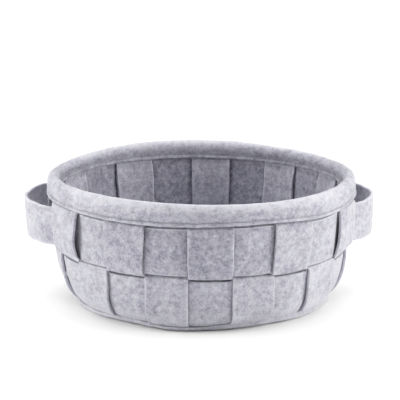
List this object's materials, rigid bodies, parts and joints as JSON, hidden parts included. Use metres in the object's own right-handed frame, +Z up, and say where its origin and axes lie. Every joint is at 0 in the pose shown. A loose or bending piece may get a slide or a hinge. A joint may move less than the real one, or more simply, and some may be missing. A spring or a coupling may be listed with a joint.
{
  "type": "felt pet basket",
  "caption": "Round low pet basket woven from wide thick grey felt strips, with a folded rim binding and a strap handle at each side.",
  "frame": {"origin": "centre of the flat underside, on the floor", "axes": "+Z up, -Y towards the front, +X to the right along the line of the two handles"},
  "size_m": [0.525, 0.4648, 0.1942],
  "materials": {
    "felt": "thick mottled light grey felt, matt, with soft cut edges"
  },
  "bodies": {
    "root": {"base_disc": "felt", "base_band": "felt", "lower_band": "felt", "upper_band": "felt", "upright_00": "felt", "upright_01": "felt", "upright_02": "felt", "upright_03": "felt", "upright_04": "felt", "upright_05": "felt", "upright_06": "felt", "upright_07": "felt", "upright_08": "felt", "upright_09": "felt", "upright_10": "felt", "upright_11": "felt", "upright_12": "felt", "upright_13": "felt", "upright_14": "felt", "upright_15": "felt", "upright_16": "felt", "upright_17": "felt", "upright_18": "felt", "upright_19": "felt", "upright_20": "felt", "upright_21": "felt", "rim_binding": "felt", "handle_right": "felt", "handle_left": "felt"}
  },
  "joints": []
}
